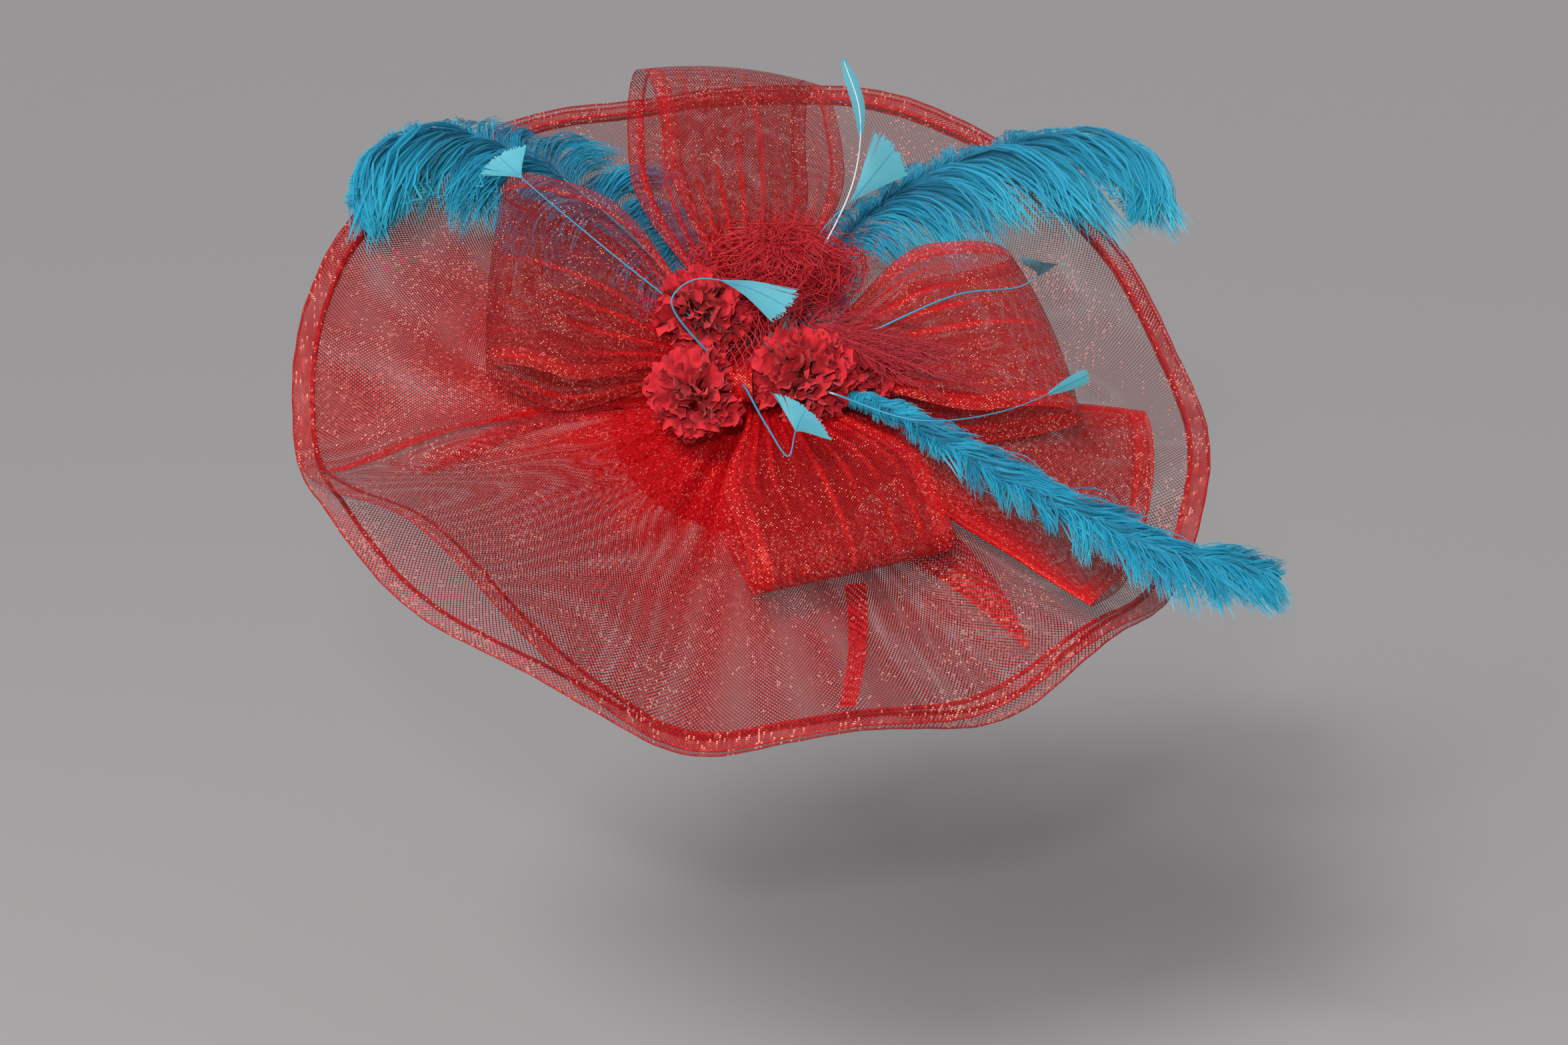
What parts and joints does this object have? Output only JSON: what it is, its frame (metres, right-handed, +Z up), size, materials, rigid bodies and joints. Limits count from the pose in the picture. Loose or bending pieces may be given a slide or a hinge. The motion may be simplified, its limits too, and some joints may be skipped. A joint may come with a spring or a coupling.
{
  "type": "wide mesh fascinator",
  "caption": "Tilted round mesh fascinator: two wavy brim layers on a shallow cap, with ribbon loops, plumes, stripped feathers and silk flowers gathered at the centre.",
  "frame": {"origin": "centre of the cap's open mouth, where the head sits", "axes": "+Z up as worn, +Y to the back of the head, +X to the wearer's left across the brim"},
  "size_m": [0.5938, 0.4917, 0.3688],
  "materials": {
    "mesh": "open woven nylon crinoline with a glassy sparkle",
    "hem": "dense crinoline edge, doubled over",
    "satin": "satin over a stiff base",
    "silk": "matte crumpled silk",
    "plume": "soft dyed ostrich fringe",
    "stripped_feather": "dyed goose feather, satin sheen",
    "comb_plastic": "plain moulded"
  },
  "bodies": {
    "root": {"cap": "satin", "brim_lower": "mesh", "brim_upper": "mesh", "hem_lower": "hem", "hem_upper": "hem", "brim_seam": "hem", "knot": "satin", "loop_top": "mesh", "loop_left": "mesh", "loop_right": "mesh", "loop_front": "mesh", "loop_back": "mesh", "loop_tiny": "mesh", "feather_far_left": "stripped_feather", "feather_hook": "stripped_feather", "feather_upright": "stripped_feather", "feather_back": "stripped_feather", "feather_right": "stripped_feather", "feather_low_right": "stripped_feather", "feather_front": "stripped_feather", "plume_left": "plume", "plume_right": "plume", "plume_low": "plume", "flower_back_left": "silk", "flower_front_left": "silk", "flower_front": "silk", "flower_right": "silk", "net_mound": "silk", "hackle": "silk", "comb": "comb_plastic"}
  },
  "joints": []
}
